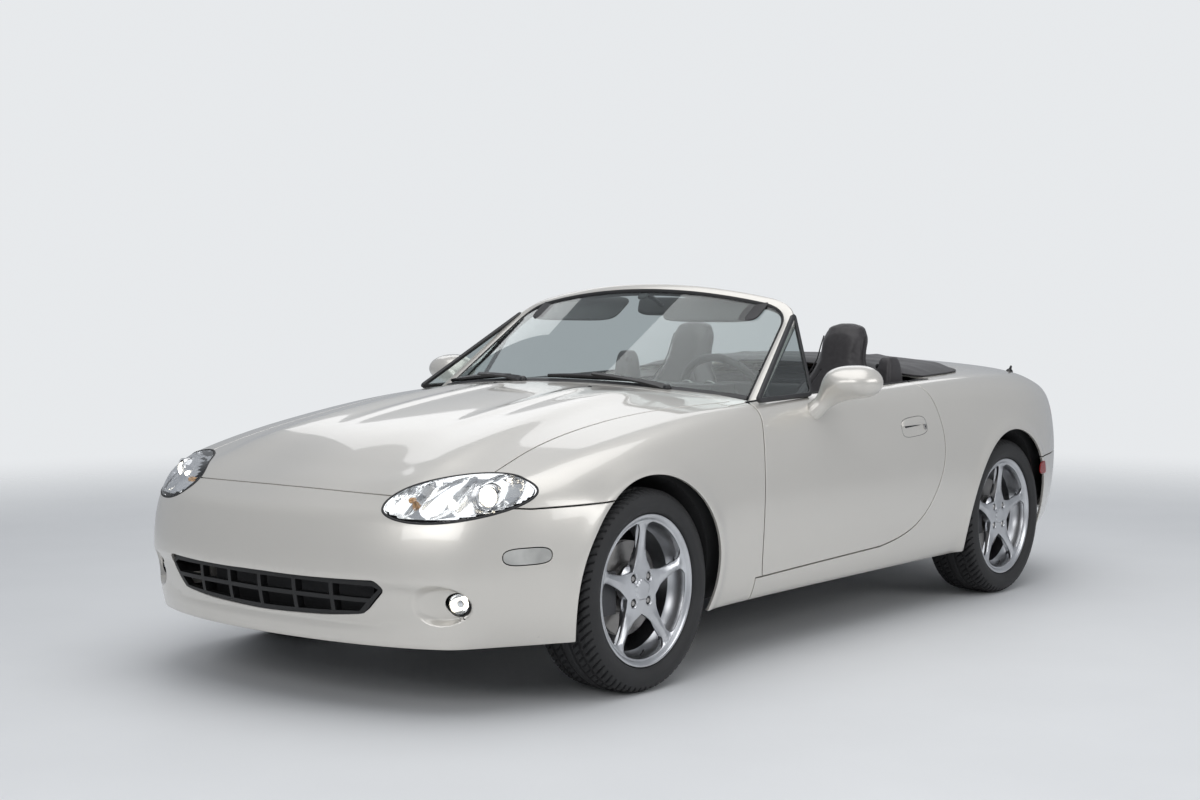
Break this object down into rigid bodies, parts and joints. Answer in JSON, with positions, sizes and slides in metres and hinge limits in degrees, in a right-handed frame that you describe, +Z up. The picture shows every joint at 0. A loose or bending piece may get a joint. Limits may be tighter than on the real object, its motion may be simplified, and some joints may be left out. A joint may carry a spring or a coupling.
{
  "type": "roadster convertible",
  "caption": "Open two-seat roadster with opening doors, hood and trunk lid, steered front wheels and a folded soft top under its cover.",
  "frame": {"origin": "on the ground at mid length and mid width", "axes": "+X to the car's left, +Y towards its tail, +Z up"},
  "size_m": [1.9642, 3.9453, 1.1819],
  "materials": {
    "paint": "pearl metallic",
    "tub_paint": "satin",
    "clear_glass": "clear",
    "lamp_lens": "clear",
    "lamp_bowl": "bright",
    "red_lens": "gloss",
    "black_plastic": "grained",
    "cabin_plastic": "grained",
    "leather": "satin",
    "cover_fabric": "woven vinyl",
    "alloy": "silver lacquer",
    "tyre_rubber": "matt",
    "bare_steel": "machined",
    "iron": "rough"
  },
  "bodies": {
    "chassis": {"front_bumper": "paint", "rear_bumper": "paint", "fender_left": "paint", "fender_right": "paint", "quarter_left": "paint", "quarter_right": "paint", "cowl_panel": "paint", "rear_deck": "paint", "body_tub": "tub_paint", "windscreen_frame": "paint", "windscreen_glass": "clear_glass", "sun_visors": "cabin_plastic", "interior_mirror": "cabin_plastic", "wipers": "black_plastic", "headlamps": "lamp_bowl", "headlamp_lenses": "lamp_lens", "tail_lamps": "red_lens", "fog_lamps": "lamp_bowl", "intake_grille": "black_plastic", "dashboard": "cabin_plastic", "interior_trim": "cabin_plastic", "seat_left": "leather", "seat_right": "leather", "tonneau_cover": "cover_fabric", "drivetrain": "iron", "radiator": "bare_steel", "subframes": "iron", "suspension_arms": "iron", "exhaust": "bare_steel"},
    "door_left": {"door_left": "paint", "vent_window_left": "clear_glass", "mirror_left": "paint"},
    "knuckle_left": {"front_knuckle_left": "iron"},
    "wheel_front_left": {"wheel_front_left": "alloy", "tyre_front_left": "tyre_rubber"},
    "wheel_rear_left": {"wheel_rear_left": "alloy", "tyre_rear_left": "tyre_rubber"},
    "door_right": {"door_right": "paint", "vent_window_right": "clear_glass", "mirror_right": "paint"},
    "knuckle_right": {"front_knuckle_right": "iron"},
    "wheel_front_right": {"wheel_front_right": "alloy", "tyre_front_right": "tyre_rubber"},
    "wheel_rear_right": {"wheel_rear_right": "alloy", "tyre_rear_right": "tyre_rubber"},
    "hood": {"hood": "paint"},
    "trunk_lid": {"trunk_lid": "paint"},
    "steering_wheel": {"steering_wheel": "leather"}
  },
  "joints": [
    {"name": "hood_hinge", "type": "hinge", "parent": "chassis", "child": "hood", "pos_m": [0, -0.694, 0.814], "axis": [-1, 0, 0], "range_deg": [0, 45]},
    {"name": "trunk_hinge", "type": "hinge", "parent": "chassis", "child": "trunk_lid", "pos_m": [0, 1.242, 0.847], "axis": [1, 0, 0], "range_deg": [0, 65]},
    {"name": "steering_column", "type": "hinge", "parent": "chassis", "child": "steering_wheel", "pos_m": [0.345, -0.15, 0.77], "axis": [0, 0.9063, 0.4226], "range_deg": [-486, 486]},
    {"name": "door_hinge_left", "type": "hinge", "parent": "chassis", "child": "door_left", "pos_m": [0.794, -0.735, 0.5], "axis": [0, 0, -1], "range_deg": [0, 62]},
    {"name": "steer_left", "type": "hinge", "parent": "chassis", "child": "knuckle_left", "pos_m": [0.6635, -1.197, 0.295], "axis": [0, 0, 1], "range_deg": [-33, 33]},
    {"name": "spin_front_left", "type": "hinge", "parent": "knuckle_left", "child": "wheel_front_left", "pos_m": [0.7075, -1.197, 0.295], "axis": [1, 0, 0], "continuous": true},
    {"name": "spin_rear_left", "type": "hinge", "parent": "chassis", "child": "wheel_rear_left", "pos_m": [0.714, 1.068, 0.295], "axis": [1, 0, 0], "continuous": true},
    {"name": "door_hinge_right", "type": "hinge", "parent": "chassis", "child": "door_right", "pos_m": [-0.794, -0.735, 0.5], "axis": [0, 0, 1], "range_deg": [0, 62]},
    {"name": "steer_right", "type": "hinge", "parent": "chassis", "child": "knuckle_right", "pos_m": [-0.6635, -1.197, 0.295], "axis": [0, 0, 1], "range_deg": [-33, 33]},
    {"name": "spin_front_right", "type": "hinge", "parent": "knuckle_right", "child": "wheel_front_right", "pos_m": [-0.7075, -1.197, 0.295], "axis": [1, 0, 0], "continuous": true},
    {"name": "spin_rear_right", "type": "hinge", "parent": "chassis", "child": "wheel_rear_right", "pos_m": [-0.714, 1.068, 0.295], "axis": [1, 0, 0], "continuous": true}
  ],
  "couplings": [
    {"joint": "steer_right", "follows": "steer_left", "ratio": 1},
    {"joint": "steering_column", "follows": "steer_left", "ratio": 14.7}
  ]
}
